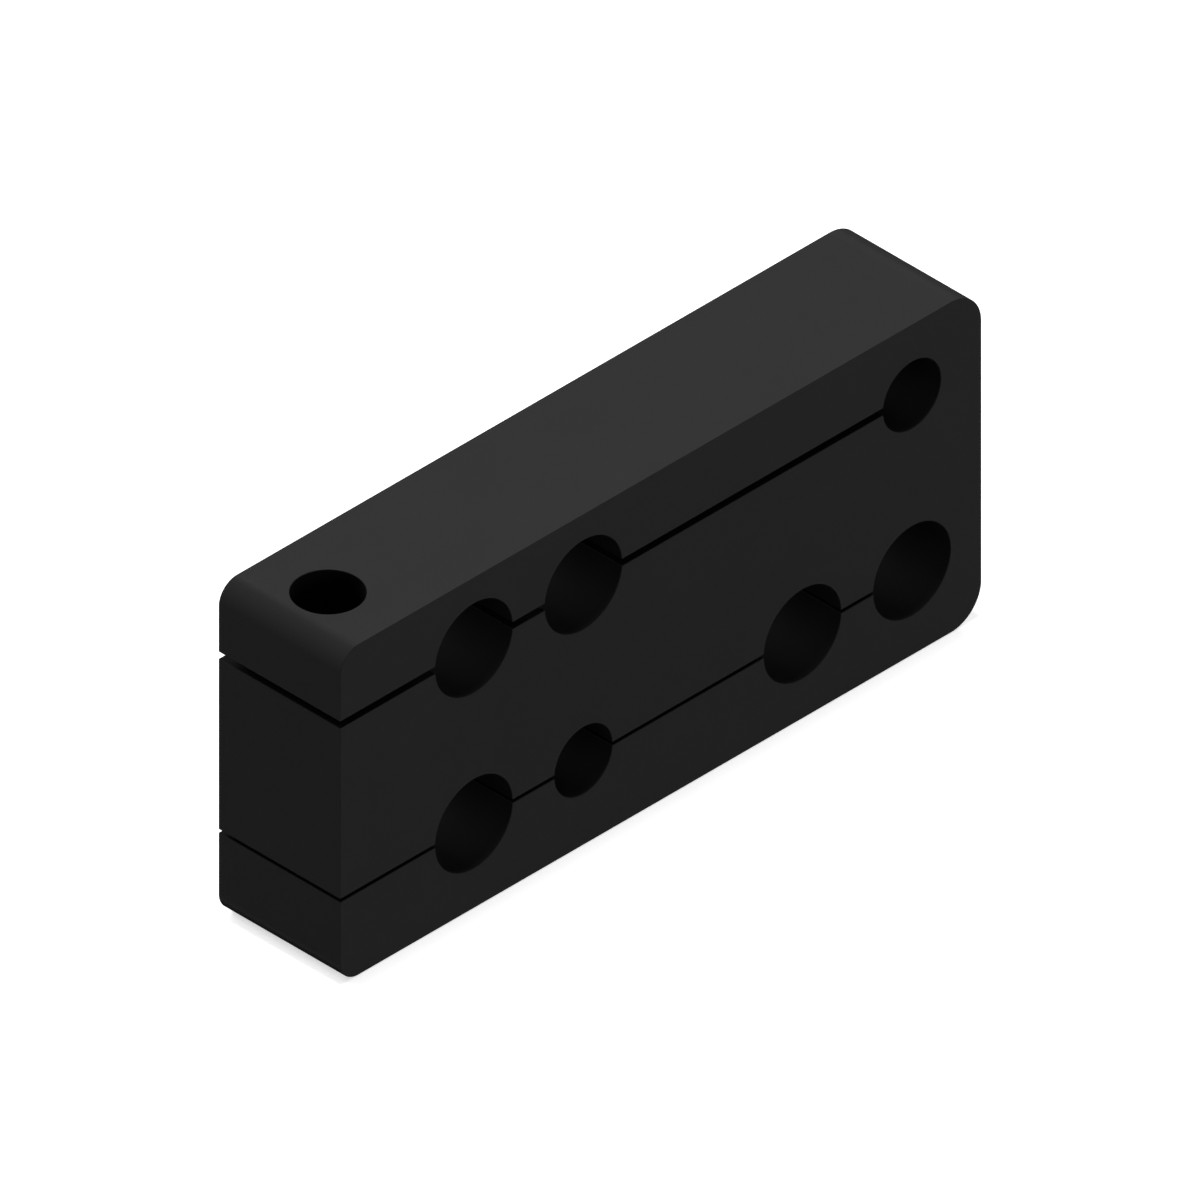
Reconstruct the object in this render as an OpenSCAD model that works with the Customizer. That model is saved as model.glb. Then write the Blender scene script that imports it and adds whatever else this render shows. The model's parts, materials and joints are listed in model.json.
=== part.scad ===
// Block clamp for round tube and rod. One solid block is split by two slits into three jaws,
// which stay joined at the closed end. One upright bolt at the open end draws the jaws together.
// X runs along the block from the open end to the closed end, Y from front to back, Z upwards.
// The origin is the middle of the underside.

/* [Block] */
// Length of the block, from open end to closed end
block_l = 105.4; // [90:0.1:160]
// Height of the block, from underside to top face
block_h = 47; // [38:0.5:80]
// Thickness of the block, from front face to back face
block_t = 20; // [12:0.5:50]
// Radius of the two corners at the open end
open_corner_r = 3; // [0.5:0.5:7]
// Radius of the two corners at the closed end
closed_corner_r = 5; // [0.5:0.5:9]

/* [Bores] */
// Diameter of the large bores, which grip half-inch tube
large_bore_d = 12.7; // [10:0.1:16]
// Diameter of the small bores, which grip three-eighths rod
small_bore_d = 9.5; // [6:0.1:13]
// Open end to the centre of the first bore station
first_station_x = 22; // [20:0.5:34]
// Centre of the last bore station to the closed end
last_station_margin = 11.4; // [8:0.1:25]
// Underside to the centres of the lower bore row
lower_row_h = 12; // [8:0.5:22]
// Centres of the upper bore row to the top face
upper_row_depth = 10; // [8:0.5:20]

/* [Slits] */
// Width of the upper slit
upper_slit_w = 1; // [0.4:0.1:3]
// Width of the lower slit
lower_slit_w = 0.5; // [0.3:0.1:3]

/* [Clamp bolt] */
// Diameter of the upright bolt hole through all three jaws
bolt_hole_d = 9; // [5:0.5:11]
// Open end to the centre of the bolt hole
bolt_hole_x = 8; // [6:0.5:10]

/* [Hidden] */
$fn = 96;
upper_row_h = block_h - upper_row_depth;
// Bore diameter at each station of a row, where 0 leaves the station solid
UPPER_ROW = [large_bore_d, large_bore_d, 0, 0, small_bore_d];
LOWER_ROW = [large_bore_d, small_bore_d, 0, large_bore_d, large_bore_d];
// The stations stand at one pitch, from the first to the last
last_station_x = block_l - last_station_margin;
station_pitch = (last_station_x - first_station_x) / (len(LOWER_ROW) - 1);
// Place of each corner of the front outline, its two inward directions, and its radius
CORNERS = [
    [[0, 0], [1, 1], open_corner_r],
    [[0, block_h], [1, -1], open_corner_r],
    [[block_l, 0], [-1, 1], closed_corner_r],
    [[block_l, block_h], [-1, -1], closed_corner_r]
];
// How far a cut starts outside the face that it opens
run_out = 1;

// Distance of a bore station from the open end
function station_x(i) = first_station_x + i * station_pitch;

// What the rounding takes off one sharp corner
module corner_waste(place, inward, r) {
    difference() {
        translate(place) square(2 * r, center = true);
        translate(place + r * inward) circle(r);
    }
}

// Front outline of the solid block
module block_outline() {
    difference() {
        square([block_l, block_h]);
        for (corner = CORNERS) corner_waste(corner[0], corner[1], corner[2]);
    }
}

// Bores of one row, and the slit that joins them, from the open end into the last bore
module split_row(bores, slit_w) {
    for (i = [0 : len(bores) - 1])
        if (bores[i] > 0)
            translate([station_x(i), 0]) circle(d = bores[i]);
    translate([-run_out, -slit_w / 2]) square([last_station_x + run_out, slit_w]);
}

// Front profile of the three jaws, joined at the closed end
module jaw_profile() {
    difference() {
        block_outline();
        translate([0, lower_row_h]) split_row(LOWER_ROW, lower_slit_w);
        translate([0, upper_row_h]) split_row(UPPER_ROW, upper_slit_w);
    }
}

// Upright hole for the clamp bolt, from the top face to the underside
module bolt_hole() {
    translate([bolt_hole_x, 0, -run_out])
        cylinder(d = bolt_hole_d, h = block_h + 2 * run_out);
}

module clamp_block() {
    color([0.13, 0.13, 0.13])
        translate([-block_l / 2, 0, 0])
            difference() {
                rotate([90, 0, 0]) linear_extrude(block_t, center = true) jaw_profile();
                bolt_hole();
            }
}

clamp_block();
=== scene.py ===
"""Studio scene of a block clamp for round tube and rod.

The clamp is one machined block with a matte black anodised finish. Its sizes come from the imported
frame, and only what the frame doesn't hold is named here: the slits, the corner radii, the broken
edges and the finishes. Lengths are in metres and angles in radians.
"""

import json
import logging
import math
from abc import ABC, abstractmethod
from dataclasses import dataclass, field
from enum import Enum, IntEnum
from typing import Any

import bmesh
import bpy
from bmesh.types import BMEdge, BMesh, BMFace, BMVert
from bpy.types import ID, Material, Node, NodeSocket, NodeTree, Object
from mathutils import Matrix, Vector


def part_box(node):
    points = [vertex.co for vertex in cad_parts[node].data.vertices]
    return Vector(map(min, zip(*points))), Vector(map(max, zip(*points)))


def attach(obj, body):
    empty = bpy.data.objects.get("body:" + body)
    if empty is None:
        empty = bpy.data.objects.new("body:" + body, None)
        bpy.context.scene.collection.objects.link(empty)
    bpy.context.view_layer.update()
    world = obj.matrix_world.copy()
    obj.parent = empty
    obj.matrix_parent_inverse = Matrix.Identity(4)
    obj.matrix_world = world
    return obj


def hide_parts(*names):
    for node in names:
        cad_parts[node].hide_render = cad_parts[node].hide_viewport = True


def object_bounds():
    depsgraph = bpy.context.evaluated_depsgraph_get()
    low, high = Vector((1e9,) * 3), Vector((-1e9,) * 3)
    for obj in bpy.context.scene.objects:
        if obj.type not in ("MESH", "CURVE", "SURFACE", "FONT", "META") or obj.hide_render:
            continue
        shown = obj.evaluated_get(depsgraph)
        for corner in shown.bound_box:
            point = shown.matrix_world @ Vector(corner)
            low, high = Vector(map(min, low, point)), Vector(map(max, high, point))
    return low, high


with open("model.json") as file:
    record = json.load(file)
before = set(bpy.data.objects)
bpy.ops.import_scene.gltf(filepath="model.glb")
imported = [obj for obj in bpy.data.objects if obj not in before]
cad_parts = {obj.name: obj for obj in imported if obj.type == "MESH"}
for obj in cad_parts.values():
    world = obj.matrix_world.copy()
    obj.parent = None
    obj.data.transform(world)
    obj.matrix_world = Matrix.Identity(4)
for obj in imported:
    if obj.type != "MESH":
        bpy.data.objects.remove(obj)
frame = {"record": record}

CAD_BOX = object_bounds()
NODE = "clamp_block"
MM = 0.001
DEGREE = math.radians(1)
QUARTER_TURN = math.pi / 2
HALF_TURN = math.pi
FULL_TURN = 2 * math.pi
X, Y, Z = range(3)

# Angle that one facet of a round wall spans
FACET = 3.75 * DEGREE
# Points nearer to each other than this are one point
WELD = 1e-7
# Least part of its normal along an axis, for a face that is square to that axis
SQUARE = 0.9999
# Noise seldom strays outside this range
NOISE_LOW, NOISE_HIGH = 0.3, 0.7
# Scale at which the bands of a Wave Texture lie one metre apart
WAVE_SCALE = math.pi / 10
# Scale of the streaks across tool marks that lie one metre apart
STREAK_SCALE = 0.7
# Share of that scale along the marks, which makes the streaks long
STREAK_LENGTHWISE = 0.08

log = logging.getLogger("block_clamp")


class Finish(IntEnum):
    """Finishes of the block, in the order of its material slots."""

    BLASTED_FACE = 0
    REAMED_BORE_PAINTED_SHADE = 1
    WIRE_CUT_SLIT_PAINTED_SHADE = 2
    DRILLED_HOLE_PAINTED_SHADE = 3
    BROKEN_EDGE_PAINTED_SHADE = 4


ROUND_WALLS = (Finish.REAMED_BORE_PAINTED_SHADE, Finish.DRILLED_HOLE_PAINTED_SHADE)


class Feed(Enum):
    """Direction that a tool was fed in, as the turn that brings it onto X."""

    ALONG_X = (0.0, 0.0, 0.0)
    ALONG_Y = (0.0, 0.0, -QUARTER_TURN)
    ALONG_Z = (0.0, QUARTER_TURN, 0.0)


class NodeGraph:
    """Adds and links the nodes of one shader node tree."""

    def __init__(self, tree: NodeTree) -> None:
        """Start on an empty tree.

        Args:
            tree: Node tree of a material, a world or a node group.
        """
        self.tree = tree
        tree.nodes.clear()

    def add(self, kind: str, inputs: dict[str | int, Any] | None = None, **settings: Any) -> Node:
        """Add a node, and set or link its inputs.

        Args:
            kind: Blender's type name of the node.
            inputs: Value, or output socket to link, for each input by name or place.
            settings: Attributes of the node itself, which are set before its inputs.

        Returns:
            The new node.
        """
        node = self.tree.nodes.new(kind)
        for name, value in settings.items():
            setattr(node, name, value)
        for key, source in (inputs or {}).items():
            if isinstance(source, NodeSocket):
                self.tree.links.new(source, node.inputs[key])
            else:
                node.inputs[key].default_value = source
        return node

    def math(self, operation: str, first: Any, second: Any) -> NodeSocket:
        """Add a math node of two inputs.

        Args:
            operation: Blender's name of the operation.
            first: First number or socket.
            second: Second number or socket.

        Returns:
            The result socket.
        """
        return self.add("ShaderNodeMath", {0: first, 1: second}, operation=operation).outputs[0]


class EffectGroup(NodeGraph):
    """Builds a shader node group with named inputs and one output."""

    def __init__(self, name: str, inputs: dict[str, str], output: str) -> None:
        """Start a group that has its sockets and no nodes but its inputs.

        Args:
            name: Name of the group.
            inputs: Blender's socket type for each named input.
            output: Name of the output, which is a number from 0 to 1.
        """
        tree = bpy.data.node_groups.new(name, "ShaderNodeTree")
        for socket, kind in inputs.items():
            tree.interface.new_socket(name=socket, in_out="INPUT", socket_type=kind)
        tree.interface.new_socket(name=output, in_out="OUTPUT", socket_type="NodeSocketFloat")
        super().__init__(tree)
        self.given = self.add("NodeGroupInput").outputs
        self.output = output

    def put_out(self, result: NodeSocket) -> NodeTree:
        """Link the output, and give the finished group.

        Args:
            result: Socket that the group puts out.

        Returns:
            The node group.
        """
        self.add("NodeGroupOutput", {self.output: result})
        return self.tree


def dye_depth_group() -> NodeTree:
    """Make the group for the slow change of tone of a dyed anodised layer.

    Returns:
        The node group, which puts out a mask.
    """
    group = EffectGroup("dye_depth", {"Patch Size": "NodeSocketFloat"}, "Mask")
    place = group.add("ShaderNodeTexCoord")
    noise = group.add("ShaderNodeTexNoise", {
        "Vector": place.outputs["Object"],
        "Scale": group.math("DIVIDE", 1.0, group.given["Patch Size"]),
        "Detail": 3.0,
        "Roughness": 0.55,
    })
    spread = group.add("ShaderNodeMapRange", {
        "Value": noise.outputs["Fac"], "From Min": NOISE_LOW, "From Max": NOISE_HIGH,
    })
    return group.put_out(spread.outputs["Result"])


def blasted_grain_group() -> NodeTree:
    """Make the group for the fine dimples that bead blasting leaves.

    Returns:
        The node group, which puts out a height.
    """
    group = EffectGroup("blasted_grain", {"Dimple Size": "NodeSocketFloat"}, "Height")
    place = group.add("ShaderNodeTexCoord").outputs["Object"]
    scale = group.math("DIVIDE", 1.0, group.given["Dimple Size"])
    dimples = group.add("ShaderNodeTexVoronoi", {"Vector": place, "Scale": scale})
    scatter = group.add("ShaderNodeTexNoise", {"Vector": place, "Scale": scale, "Detail": 2.0})
    return group.put_out(
        group.math("MULTIPLY", dimples.outputs["Distance"], scatter.outputs["Fac"]))


def tool_marks_group() -> NodeTree:
    """Make the group for the fine parallel marks that a cutting tool leaves across its feed.

    Returns:
        The node group, which puts out a height, for marks that follow each other along X.
    """
    group = EffectGroup("tool_marks", {
        "Vector": "NodeSocketVector", "Pitch": "NodeSocketFloat", "Waver": "NodeSocketFloat",
    }, "Height")
    bands = group.add("ShaderNodeTexWave", {
        "Vector": group.given["Vector"],
        "Scale": group.math("DIVIDE", WAVE_SCALE, group.given["Pitch"]),
        "Distortion": group.given["Waver"],
        "Detail": 2.0,
    }, wave_type="BANDS", bands_direction="X")
    stretched = group.add("ShaderNodeMapping", {
        "Vector": group.given["Vector"],
        "Scale": (1.0, STREAK_LENGTHWISE, STREAK_LENGTHWISE),
    })
    streaks = group.add("ShaderNodeTexNoise", {
        "Vector": stretched.outputs["Vector"],
        "Scale": group.math("DIVIDE", STREAK_SCALE, group.given["Pitch"]),
        "Detail": 3.0,
    })
    return group.put_out(group.math("MULTIPLY", bands.outputs["Fac"], streaks.outputs["Fac"]))


@dataclass(frozen=True)
class SharedEffects:
    """Shader node groups that the finishes share."""

    dye_depth: NodeTree
    blasted_grain: NodeTree
    tool_marks: NodeTree

    @classmethod
    def make(cls) -> "SharedEffects":
        """Build each group once."""
        return cls(dye_depth_group(), blasted_grain_group(), tool_marks_group())


@dataclass(frozen=True)
class Anodise(ABC):
    """A dyed black anodised layer, with what the tool or the blasting left under it.

    Attributes:
        name: Name of the material.
        tone: Grey of the dye, as a linear value, made darker than the faces' on the walls of the
            bores, slits and bolt hole and on the broken edges, as painted shade.
        roughness: Roughness where the face is seen squarely.
        tone_change: Share by which the tone strays either way, from patch to patch.
        roughness_change: Amount by which the roughness strays either way.
        patch_size: Width of a patch.
        blue_cast: Blue of the dye, as a multiple of its red and green.
        specular_level: Strength of the gloss.
        relief: Height of the marks under the layer.
        matte_from: Slant at which the gloss starts to fade, from 0 for square on to 1 for edge on.
        matte_to: Slant at which the layer is fully matte.
        smoothest: Roughness from which that fading starts.
    """

    name: str
    tone: float
    roughness: float
    tone_change: float = 0.02
    roughness_change: float = 0.02
    patch_size: float = 9 * MM
    blue_cast: float = 1.02
    specular_level: float = 0.01
    relief: float = 0.003 * MM
    matte_from: float = 0.5
    matte_to: float = 0.75
    smoothest: float = 0.4

    @abstractmethod
    def height(self, graph: NodeGraph, effects: SharedEffects) -> NodeSocket:
        """Give the height of the marks under the layer, from 0 to 1.

        Args:
            graph: Nodes of the material.
            effects: Groups that the finishes share.

        Returns:
            The height socket.
        """

    def colour(self, change: float) -> tuple[float, float, float, float]:
        """Give the dye's colour where its tone has strayed by a share."""
        grey = self.tone * (1 + change)
        return grey, grey, grey * self.blue_cast, 1.0

    def build(self, effects: SharedEffects) -> Material:
        """Build the material.

        Args:
            effects: Groups that the finishes share.

        Returns:
            The material, with nodes for its tone, roughness and relief.
        """
        material = bpy.data.materials.new(self.name)
        material.use_nodes = True
        graph = NodeGraph(material.node_tree)
        mask = graph.add("ShaderNodeGroup", {
            "Patch Size": self.patch_size,
        }, node_tree=effects.dye_depth).outputs["Mask"]
        tone = graph.add("ShaderNodeMix", {
            "Factor": mask,
            "A": self.colour(-self.tone_change),
            "B": self.colour(self.tone_change),
        }, data_type="RGBA")
        rough = graph.add("ShaderNodeMapRange", {
            "Value": mask,
            "To Min": self.roughness + self.roughness_change,
            "To Max": self.roughness - self.roughness_change,
        })
        slant = graph.add("ShaderNodeLayerWeight", {"Blend": 0.5})
        fading = graph.add("ShaderNodeMapRange", {
            "Value": slant.outputs["Facing"],
            "From Min": self.matte_from,
            "From Max": self.matte_to,
            "To Min": self.smoothest,
            "To Max": 1.0,
        })
        bump = graph.add("ShaderNodeBump", {
            "Height": self.height(graph, effects), "Strength": 1.0, "Distance": self.relief,
        })
        shader = graph.add("ShaderNodeBsdfPrincipled", {
            "Base Color": tone.outputs["Result"],
            "Roughness": graph.math("MAXIMUM", rough.outputs["Result"], fading.outputs["Result"]),
            "Specular IOR Level": self.specular_level,
            "Normal": bump.outputs["Normal"],
        })
        graph.add("ShaderNodeOutputMaterial", {"Surface": shader.outputs["BSDF"]})
        return material


@dataclass(frozen=True)
class BlastedAnodise(Anodise):
    """Anodise over a bead-blasted face.

    Attributes:
        dimple_size: Width of a dimple.
    """

    dimple_size: float = 0.14 * MM
    relief: float = 0.015 * MM

    def height(self, graph: NodeGraph, effects: SharedEffects) -> NodeSocket:
        """Give the height of the blasted grain.

        Args:
            graph: Nodes of the material.
            effects: Groups that the finishes share.

        Returns:
            The height socket.
        """
        grain = graph.add("ShaderNodeGroup", {
            "Dimple Size": self.dimple_size,
        }, node_tree=effects.blasted_grain)
        return grain.outputs["Height"]


@dataclass(frozen=True)
class CutAnodise(Anodise):
    """Anodise over a wall that still shows the marks of its tool.

    Attributes:
        feed: Direction that the tool was fed in.
        pitch: Distance from mark to mark.
        waver: How far the marks stray from straight.
    """

    feed: Feed = Feed.ALONG_X
    pitch: float = 0.2 * MM
    waver: float = 0.6

    def height(self, graph: NodeGraph, effects: SharedEffects) -> NodeSocket:
        """Give the height of the tool marks.

        Args:
            graph: Nodes of the material.
            effects: Groups that the finishes share.

        Returns:
            The height socket.
        """
        place = graph.add("ShaderNodeTexCoord")
        turned = graph.add("ShaderNodeMapping", {
            "Vector": place.outputs["Object"], "Rotation": self.feed.value,
        })
        marks = graph.add("ShaderNodeGroup", {
            "Vector": turned.outputs["Vector"], "Pitch": self.pitch, "Waver": self.waver,
        }, node_tree=effects.tool_marks)
        return marks.outputs["Height"]


FINISHES: dict[Finish, Anodise] = {
    Finish.BLASTED_FACE: BlastedAnodise("blasted_face", tone=0.028, roughness=0.45),
    # The bores' walls are darker than the faces, as painted shade inside the bores
    Finish.REAMED_BORE_PAINTED_SHADE: CutAnodise(
        "reamed_bore_painted_shade", tone=0.0155, roughness=0.42, specular_level=0.004, feed=Feed.ALONG_Y),
    # The slits' walls are nearly black, as painted shade inside the slits
    Finish.WIRE_CUT_SLIT_PAINTED_SHADE: CutAnodise(
        "wire_cut_slit_painted_shade", tone=0.004, roughness=0.6, pitch=0.12 * MM),
    # The bolt hole's wall is nearly black, as painted shade inside the hole
    Finish.DRILLED_HOLE_PAINTED_SHADE: CutAnodise(
        "drilled_hole_painted_shade", tone=0.003, roughness=0.48, specular_level=0.02,
        feed=Feed.ALONG_Z, pitch=0.3 * MM, waver=1.2),
    # The broken edges are darker than the faces, as painted shade that dims the light they catch
    Finish.BROKEN_EDGE_PAINTED_SHADE: BlastedAnodise("broken_edge_painted_shade", tone=0.022, roughness=0.45),
}


def add_object(data: ID) -> Object:
    """Put a mesh, a lamp or a camera in the scene, as an object of its own name.

    Args:
        data: What the object holds.

    Returns:
        The new object.
    """
    piece = bpy.data.objects.new(data.name, data)
    bpy.context.scene.collection.objects.link(piece)
    return piece


def add_mesh(name: str, mesh: BMesh) -> Object:
    """Put a finished mesh in the scene, and free the working copy.

    Args:
        name: Name of the object.
        mesh: Finished mesh.

    Returns:
        The new object.
    """
    data = bpy.data.meshes.new(name)
    mesh.to_mesh(data)
    mesh.free()
    return add_object(data)


def is_square(face: BMFace, axis: int) -> bool:
    """Say whether a face is square to an axis."""
    return abs(face.normal[axis]) > SQUARE


@dataclass(frozen=True)
class Bore:
    """A round hole, given by a point on its axis, the axis and its radius."""

    centre: Vector
    axis: Vector
    radius: float

    @classmethod
    def from_mount(cls, mount: dict[str, Any]) -> "Bore":
        """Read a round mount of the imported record."""
        return cls(Vector(mount["pos_m"]), Vector(mount["axis"]), mount["dims"]["r_mm"] * MM)

    def holds(self, point: Vector) -> bool:
        """Say whether a point lies in the hole or on its wall."""
        return (point - self.centre).cross(self.axis).length < self.radius + WELD


class OutlinePen:
    """Draws one closed outline in the XZ plane, move by move, counter-clockwise from the front."""

    def __init__(self, mesh: BMesh, x: float, z: float) -> None:
        """Put the pen down.

        Args:
            mesh: Mesh that takes the outline.
            x: Place of the first point along the block.
            z: Height of the first point.
        """
        self.mesh = mesh
        self.tip = mesh.verts.new((x, 0.0, z))

    def line_to(self, x: float, z: float) -> None:
        """Draw a straight line.

        Args:
            x: Place of its end along the block.
            z: Height of its end.
        """
        end = self.mesh.verts.new((x, 0.0, z))
        self.mesh.edges.new((self.tip, end))
        self.tip = end

    def arc_about(self, x: float, z: float, turn: float) -> None:
        """Draw an arc.

        Args:
            x: Place of its centre along the block.
            z: Height of its centre.
            turn: Angle that it turns through, positive for counter-clockwise.
        """
        grown = bmesh.ops.spin(
            self.mesh, geom=[self.tip], cent=(x, 0.0, z), axis=(0.0, -1.0, 0.0), angle=turn,
            steps=round(abs(turn) / FACET), use_merge=False, use_duplicate=False)
        self.tip = next(part for part in grown["geom_last"] if isinstance(part, BMVert))

    def close(self) -> None:
        """Weld the last point to the first, and fill the outline."""
        bmesh.ops.remove_doubles(self.mesh, verts=self.mesh.verts[:], dist=WELD)
        bmesh.ops.edgeloop_fill(self.mesh, edges=self.mesh.edges[:])


@dataclass(frozen=True)
class SplitRow:
    """One row of bores, and the slit that joins them from the open end into the last bore."""

    bores: list[Bore]
    slit_width: float

    @property
    def height(self) -> float:
        """Height of the row above the underside."""
        return self.bores[0].centre.z

    def draw(self, pen: OutlinePen, open_end: float) -> None:
        """Draw the row from the open end, in above the slit and out below it.

        Args:
            pen: Pen that stands on the open end, above the slit.
            open_end: Place of the open end along the block.
        """
        *passed, last = self.bores
        pen.line_to(open_end, self.height + self.slit_width / 2)
        for bore in passed:
            self.draw_bore(pen, bore, side=1, sweep=HALF_TURN)
        self.draw_bore(pen, last, side=1, sweep=FULL_TURN)
        for bore in reversed(passed):
            self.draw_bore(pen, bore, side=-1, sweep=HALF_TURN)
        pen.line_to(open_end, self.height - self.slit_width / 2)

    def draw_bore(self, pen: OutlinePen, bore: Bore, side: int, sweep: float) -> None:
        """Draw along the slit to a bore, and clockwise round its wall to the slit again.

        Args:
            pen: Pen that stands on the slit's edge before the bore.
            bore: Bore that the slit meets.
            side: 1 to come along the slit's upper edge, -1 to come along its lower edge.
            sweep: Half a turn to pass the bore on that side, a full turn to go round it. The slit's
                own share of the wall comes off it.
        """
        half = self.slit_width / 2
        reach = math.sqrt(bore.radius**2 - half**2)
        pen.line_to(bore.centre.x - side * reach, self.height + side * half)
        pen.arc_about(bore.centre.x, self.height, 2 * math.asin(half / bore.radius) - sweep)

    def in_slit(self, point: Vector) -> bool:
        """Say whether a point lies on or between the slit's walls."""
        return abs(point.z - self.height) < self.slit_width / 2 + WELD


@dataclass
class ClampBlock:
    """The machined block: three jaws joined at the closed end, with their bores and bolt hole.

    Attributes:
        lower_slit_width: Width of the slit through the lower row.
        upper_slit_width: Width of the slit through the upper row.
        open_corner_radius: Radius of the two corners at the open end.
        closed_corner_radius: Radius of the two corners at the closed end.
        edge_break: Distance from each sharp edge at which its small round starts.
        edge_segments: Facets across that round.
        mouth_land: Width of the even ring of faces round each mouth of the bolt hole.
        sharp_angle: Least angle between the two faces of an edge that is broken.
        low: Lowest corner of the solid's box, from the frame.
        high: Highest corner of that box.
        bolt_hole: Upright hole through all three jaws.
        rows: The lower and the upper row.
    """

    lower_slit_width: float = 0.5 * MM
    upper_slit_width: float = 1.0 * MM
    open_corner_radius: float = 3.0 * MM
    closed_corner_radius: float = 5.0 * MM
    edge_break: float = 0.07 * MM
    edge_segments: int = 2
    mouth_land: float = 0.3 * MM
    sharp_angle: float = 30 * DEGREE
    low: Vector = field(init=False)
    high: Vector = field(init=False)
    bolt_hole: Bore = field(init=False)
    rows: list[SplitRow] = field(init=False)

    def __post_init__(self) -> None:
        """Read the block's box, bores and bolt hole from the frame."""
        self.low, self.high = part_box(NODE)
        mounts = {mount["name"]: mount for mount in frame["record"]["mounts"]}
        self.bolt_hole = Bore.from_mount(mounts["bolt_hole"])
        self.rows = [
            SplitRow(self.bores_of("lower", mounts), self.lower_slit_width),
            SplitRow(self.bores_of("upper", mounts), self.upper_slit_width),
        ]

    @staticmethod
    def bores_of(row: str, mounts: dict[str, dict[str, Any]]) -> list[Bore]:
        """Give the bores of one row, from the open end.

        Args:
            row: First word of the names of the row's mounts.
            mounts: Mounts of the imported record, by name.

        Returns:
            The bores, in order along X.
        """
        bores = [Bore.from_mount(m) for name, m in mounts.items() if name.startswith(row)]
        return sorted(bores, key=lambda bore: bore.centre.x)

    def build(self, effects: SharedEffects) -> Object:
        """Model the block, and dress it.

        Args:
            effects: Groups that the finishes share.

        Returns:
            The finished piece, which rides on the root body in place of the plain solid.
        """
        mesh = bmesh.new()
        self.draw_outline(mesh)
        self.divide_outline(mesh)
        self.extrude(mesh)
        self.drill_bolt_hole(mesh)
        self.name_surfaces(mesh)
        self.break_edges(mesh)
        piece = add_mesh("machined_block", mesh)
        self.dress(piece, effects)
        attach(piece, "root")
        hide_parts(NODE)
        return piece

    def draw_outline(self, mesh: BMesh) -> None:
        """Draw the front outline of the three jaws, and fill it.

        Args:
            mesh: Empty mesh that takes the outline.
        """
        left, right, bottom, top = self.low.x, self.high.x, self.low.z, self.high.z
        open_r, closed_r = self.open_corner_radius, self.closed_corner_radius
        pen = OutlinePen(mesh, left + open_r, bottom)
        pen.line_to(right - closed_r, bottom)
        pen.arc_about(right - closed_r, bottom + closed_r, QUARTER_TURN)
        pen.line_to(right, top - closed_r)
        pen.arc_about(right - closed_r, top - closed_r, QUARTER_TURN)
        pen.line_to(left + open_r, top)
        pen.arc_about(left + open_r, top - open_r, QUARTER_TURN)
        for row in reversed(self.rows):
            row.draw(pen, left)
        pen.line_to(left, bottom + open_r)
        pen.arc_about(left + open_r, bottom + open_r, QUARTER_TURN)
        pen.close()

    def divide_outline(self, mesh: BMesh) -> None:
        """Cut the filled outline between the bolt hole and each bore, to keep its faces small.

        Args:
            mesh: Mesh with the filled outline.
        """
        # The rows share their stations, and rounding to the micrometre makes each pair one
        stations = sorted({round(b.centre.x, 6) for row in self.rows for b in row.bores})
        hole_edge = self.bolt_hole.centre.x + self.bolt_hole.radius
        bore_edge = stations[0] - max(row.bores[0].radius for row in self.rows)
        cuts = [(a + b) / 2 for a, b in zip(stations, stations[1:])]
        for cut in [(hole_edge + bore_edge) / 2, *cuts]:
            bmesh.ops.bisect_plane(
                mesh, geom=mesh.verts[:] + mesh.edges[:] + mesh.faces[:], dist=WELD,
                plane_co=(cut, 0.0, 0.0), plane_no=(1.0, 0.0, 0.0))

    def extrude(self, mesh: BMesh) -> None:
        """Give the outline the thickness of the block, from its front face to its back face.

        Args:
            mesh: Mesh with the filled outline at Y 0.
        """
        bmesh.ops.translate(mesh, verts=mesh.verts[:], vec=(0.0, self.low.y, 0.0))
        grown = bmesh.ops.extrude_face_region(mesh, geom=mesh.faces[:])["geom"]
        moved = [part for part in grown if isinstance(part, BMVert)]
        bmesh.ops.translate(mesh, verts=moved, vec=(0.0, self.high.y - self.low.y, 0.0))
        bmesh.ops.recalc_face_normals(mesh, faces=mesh.faces[:])

    def drill_bolt_hole(self, mesh: BMesh) -> None:
        """Open a round mouth in each level face that the bolt crosses, and wall it jaw by jaw.

        Args:
            mesh: Mesh of the block without its bolt hole.
        """
        x = self.bolt_hole.centre.x
        crossed = [
            face for face in mesh.faces
            if is_square(face, Z)
            and min(v.co.x for v in face.verts) < x < max(v.co.x for v in face.verts)
        ]
        crossed.sort(key=lambda face: face.calc_center_median().z)
        rims = [self.open_mouth(mesh, face) for face in crossed]
        for lower, upper in zip(rims[::2], rims[1::2]):
            bmesh.ops.bridge_loops(mesh, edges=lower + upper)
        bmesh.ops.recalc_face_normals(mesh, faces=mesh.faces[:])

    def open_mouth(self, mesh: BMesh, face: BMFace) -> list[BMEdge]:
        """Replace a level face by one with a round mouth for the bolt, and an even land round it.

        Args:
            mesh: Mesh of the block.
            face: Level face that the bolt crosses.

        Returns:
            The edges of the mouth.
        """
        level = face.calc_center_median().z
        facing = face.normal.copy()
        border = face.edges[:]
        bmesh.ops.delete(mesh, geom=[face], context="FACES_ONLY")
        rim = self.draw_ring(mesh, level, self.bolt_hole.radius)
        land = self.draw_ring(mesh, level, self.bolt_hole.radius + self.mouth_land)
        bmesh.ops.bridge_loops(mesh, edges=rim + land)
        bmesh.ops.triangle_fill(
            mesh, edges=border + land, use_beauty=True, use_dissolve=False, normal=facing)
        return rim

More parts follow.
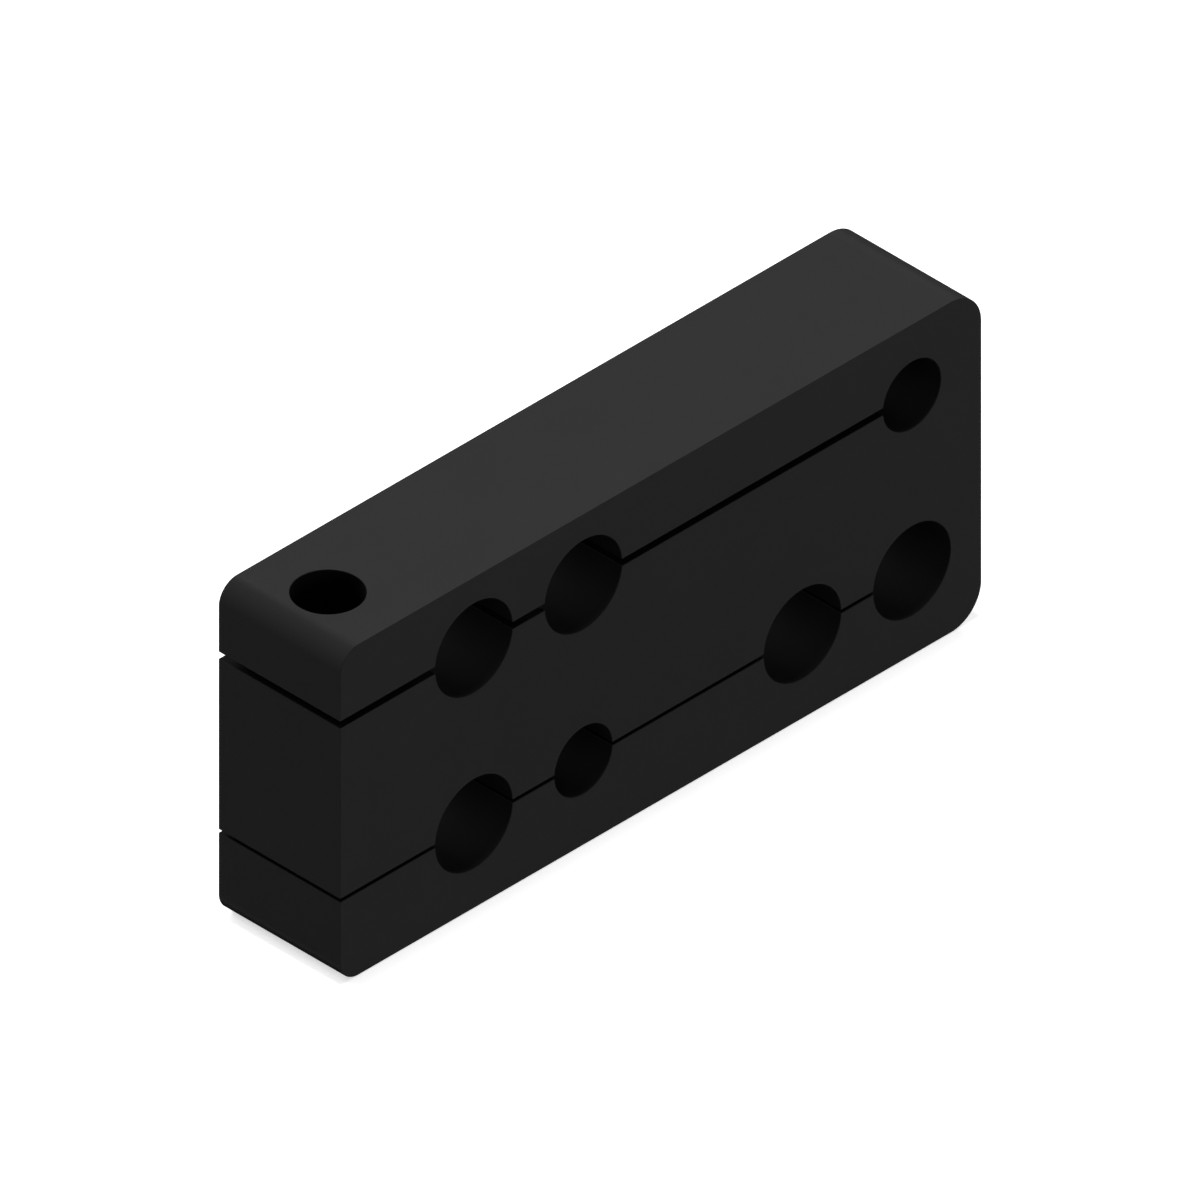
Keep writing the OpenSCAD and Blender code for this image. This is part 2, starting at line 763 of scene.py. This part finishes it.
    def draw_ring(self, mesh: BMesh, level: float, radius: float) -> list[BMEdge]:
        """Draw a level circle about the axis of the bolt hole.

        Args:
            mesh: Mesh that takes the circle.
            level: Height of the circle.
            radius: Radius of the circle.

        Returns:
            The edges of the circle, each once and always in the same order.
        """
        place = Matrix.Translation((self.bolt_hole.centre.x, self.bolt_hole.centre.y, level))
        ring = bmesh.ops.create_circle(
            mesh, cap_ends=False, segments=round(FULL_TURN / FACET), radius=radius, matrix=place)
        return list(dict.fromkeys(edge for vert in ring["verts"] for edge in vert.link_edges))

    def name_surfaces(self, mesh: BMesh) -> None:
        """Give each face the finish of the tool that made it, whose tone on the walls of the bores,
        slits and bolt hole is painted shade, and shade the curved walls smooth.

        Args:
            mesh: Mesh of the block with sharp edges.
        """
        for face in mesh.faces:
            finish = self.finish_at(face)
            slanted = not any(is_square(face, axis) for axis in (X, Y, Z))
            face.material_index = finish
            face.smooth = slanted or finish in ROUND_WALLS

    def finish_at(self, face: BMFace) -> Finish:
        """Give the finish of one face.

        Args:
            face: Face of the block with sharp edges.

        Returns:
            The finish, from where the face lies.
        """
        middle = face.calc_center_median()
        if self.bolt_hole.holds(middle) and not is_square(face, Z):
            return Finish.DRILLED_HOLE_PAINTED_SHADE
        if is_square(face, Y):
            return Finish.BLASTED_FACE
        for row in self.rows:
            if any(bore.holds(middle) for bore in row.bores):
                return Finish.REAMED_BORE_PAINTED_SHADE
            if row.in_slit(middle):
                return Finish.WIRE_CUT_SLIT_PAINTED_SHADE
        return Finish.BLASTED_FACE

    def break_edges(self, mesh: BMesh) -> None:
        """Break every sharp edge by a small round, with a finish of its own, darker than the faces
        as painted shade that dims the light the rounds catch.

        Args:
            mesh: Mesh of the block with sharp edges.
        """
        sharp = [edge for edge in mesh.edges if edge.calc_face_angle(0.0) > self.sharp_angle]
        broken = bmesh.ops.bevel(
            mesh, geom=sharp, offset=self.edge_break, offset_type="OFFSET",
            segments=self.edge_segments, profile=0.5, affect="EDGES", clamp_overlap=False,
            material=-1)
        for face in broken["faces"]:
            face.material_index = Finish.BROKEN_EDGE_PAINTED_SHADE
            face.smooth = True

    @staticmethod
    def dress(piece: Object, effects: SharedEffects) -> None:
        """Give the block its finishes, and normals that keep its flat faces even.

        Args:
            piece: The block's object.
            effects: Groups that the finishes share.
        """
        for finish in Finish:
            piece.data.materials.append(FINISHES[finish].build(effects))
        normals = piece.modifiers.new("even_faces", "WEIGHTED_NORMAL")
        normals.mode = "FACE_AREA"
        normals.keep_sharp = True


@dataclass(frozen=True)
class Bearing:
    """A direction from the block.

    Attributes:
        azimuth: Angle round the block, 0 in front and negative on the open end's side.
        elevation: Angle above the floor.
    """

    azimuth: float
    elevation: float

    def direction(self) -> Vector:
        """Give the direction from the block.

        Returns:
            The unit vector.
        """
        level = math.cos(self.elevation)
        return Vector((
            math.sin(self.azimuth) * level, -math.cos(self.azimuth) * level,
            math.sin(self.elevation)))

    def turn_back(self, piece: Object) -> None:
        """Turn a lamp or a camera that stands there to face the block."""
        piece.rotation_euler = self.direction().to_track_quat("Z", "Y").to_euler()


@dataclass(frozen=True)
class SoftLamp:
    """One broad lamp, far from the block.

    Attributes:
        name: Name of the lamp.
        level: How light a face square to the lamp renders, as a share of its colour.
        bearing: Where the lamp hangs.
        spread: Angle that the lamp spans.
    """

    name: str
    level: float
    bearing: Bearing
    spread: float = 20 * DEGREE

    def hang(self) -> None:
        """Hang the lamp."""
        lamp = bpy.data.lights.new(self.name, "SUN")
        # A sun of strength pi gives a matte face square to it just its own colour
        lamp.energy = self.level * math.pi
        lamp.angle = self.spread
        self.bearing.turn_back(add_object(lamp))


@dataclass
class Studio:
    """Pale floor, soft light and camera of the photograph.

    Some rays show the floor and the world: those of the camera, of gloss and of glass. They find
    white. The others only carry light to the block, and find a faint fill.

    Attributes:
        floor_side: Side of the square floor.
        floor_drop: Gap under the block, so that its underside and the floor share no plane.
        floor_lift: Glow of the floor to the rays that show it, on top of the lamps' light.
        floor_glow: Glow of the floor to the other rays.
        sky_fill: Strength of the world to the other rays.
        lamps: Lamps that light the block.
        view: Where the camera stands.
        view_distance: Distance of the camera from the middle of the block.
        view_width: Width that the camera takes in.
    """

    floor_side: float = 4.0
    floor_drop: float = 0.05 * MM
    floor_lift: float = 0.6
    floor_glow: float = 0.08
    sky_fill: float = 0.052
    lamps: tuple[SoftLamp, ...] = (
        # These light the top, the front and the round corner of the open end
        SoftLamp("overhead_key", 0.345, Bearing(0.0, 90 * DEGREE), spread=8 * DEGREE),
        SoftLamp("front_fill", 0.315, Bearing(-6 * DEGREE, 8 * DEGREE)),
        SoftLamp("left_fill", 0.045, Bearing(-54 * DEGREE, 45 * DEGREE)),
        # This gives the sheen of the top and of the round corner of the closed end
        SoftLamp("back_light", 0.582, Bearing(147 * DEGREE, 18 * DEGREE)),
        # These shine into the bores and the slits from behind
        SoftLamp("rear_low", 0.172, Bearing(-164 * DEGREE, 19 * DEGREE)),
        SoftLamp("rear_high", 0.26, Bearing(-167 * DEGREE, 36 * DEGREE)),
    )
    view: Bearing = Bearing(-45 * DEGREE, math.atan(math.sqrt(0.5)))
    view_distance: float = 0.6
    view_width: float = 139.46 * MM

    def build(self) -> None:
        """Build the world, the floor, the lamps and the camera."""
        self.set_world()
        self.lay_floor()
        for lamp in self.lamps:
            lamp.hang()
        self.place_camera()
        bpy.context.scene.view_settings.view_transform = "Standard"

    @staticmethod
    def seen_rays(graph: NodeGraph) -> NodeSocket:
        """Give 1 on the rays that show the floor and the world, and 0 on the others.

        Args:
            graph: Nodes of the floor or the world.

        Returns:
            The mask socket.
        """
        path = graph.add("ShaderNodeLightPath").outputs
        direct = graph.math("MAXIMUM", path["Is Camera Ray"], path["Is Glossy Ray"])
        return graph.math("MAXIMUM", direct, path["Is Transmission Ray"])

    def set_world(self) -> None:
        """Make the world white to the rays that show it, and a faint fill to the others."""
        world = bpy.data.worlds.new("studio_world")
        world.use_nodes = True
        bpy.context.scene.world = world
        graph = NodeGraph(world.node_tree)
        strength = graph.add("ShaderNodeMapRange", {
            "Value": self.seen_rays(graph), "To Min": self.sky_fill, "To Max": 1.0,
        })
        sky = graph.add("ShaderNodeBackground", {
            "Color": (1.0, 1.0, 1.0, 1.0), "Strength": strength.outputs["Result"],
        })
        graph.add("ShaderNodeOutputWorld", {"Surface": sky.outputs["Background"]})

    def lay_floor(self) -> None:
        """Lay the floor under the block."""
        mesh = bmesh.new()
        bmesh.ops.create_grid(
            mesh, x_segments=1, y_segments=1, size=self.floor_side / 2,
            matrix=Matrix.Translation((0.0, 0.0, CAD_BOX[0].z - self.floor_drop)))
        floor = add_mesh("studio_floor", mesh)
        floor.data.materials.append(self.floor_material())

    def floor_material(self) -> Material:
        """Make the floor's material: matte, white with the block's shadow, and clear from below.

        Returns:
            The material.
        """
        material = bpy.data.materials.new("studio_floor")
        material.use_nodes = True
        # The glow is weak and even, so it isn't sampled as a lamp
        material.cycles.emission_sampling = "NONE"
        graph = NodeGraph(material.node_tree)
        seen = self.seen_rays(graph)
        matte = graph.add("ShaderNodeBsdfDiffuse", {"Color": seen})
        strength = graph.add("ShaderNodeMapRange", {
            "Value": seen, "To Min": self.floor_glow, "To Max": self.floor_lift,
        })
        glow = graph.add("ShaderNodeEmission", {"Strength": strength.outputs["Result"]})
        lit = graph.add("ShaderNodeAddShader", {
            0: matte.outputs["BSDF"], 1: glow.outputs["Emission"],
        })
        clear = graph.add("ShaderNodeBsdfTransparent")
        side = graph.add("ShaderNodeNewGeometry")
        both = graph.add("ShaderNodeMixShader", {
            0: side.outputs["Backfacing"], 1: lit.outputs["Shader"], 2: clear.outputs["BSDF"],
        })
        graph.add("ShaderNodeOutputMaterial", {"Surface": both.outputs["Shader"]})
        return material

    def place_camera(self) -> None:
        """Set the parallel camera at the photograph's angle, centred on the block's box."""
        lens = bpy.data.cameras.new("photo_camera")
        lens.type = "ORTHO"
        lens.ortho_scale = self.view_width
        camera = add_object(lens)
        middle = (CAD_BOX[0] + CAD_BOX[1]) / 2
        camera.location = middle + self.view.direction() * self.view_distance
        self.view.turn_back(camera)
        bpy.context.scene.camera = camera


def main() -> None:
    """Build the block and its studio, and report each piece."""
    logging.basicConfig(level=logging.INFO, format="%(name)s: %(message)s")
    block = ClampBlock()
    piece = block.build(SharedEffects.make())
    log.info("%s: %d faces, %d bores", piece.name, len(piece.data.polygons),
             sum(len(row.bores) for row in block.rows))
    Studio().build()
    log.info("studio: floor, lamps and camera")


if __name__ == "__main__":
    main()
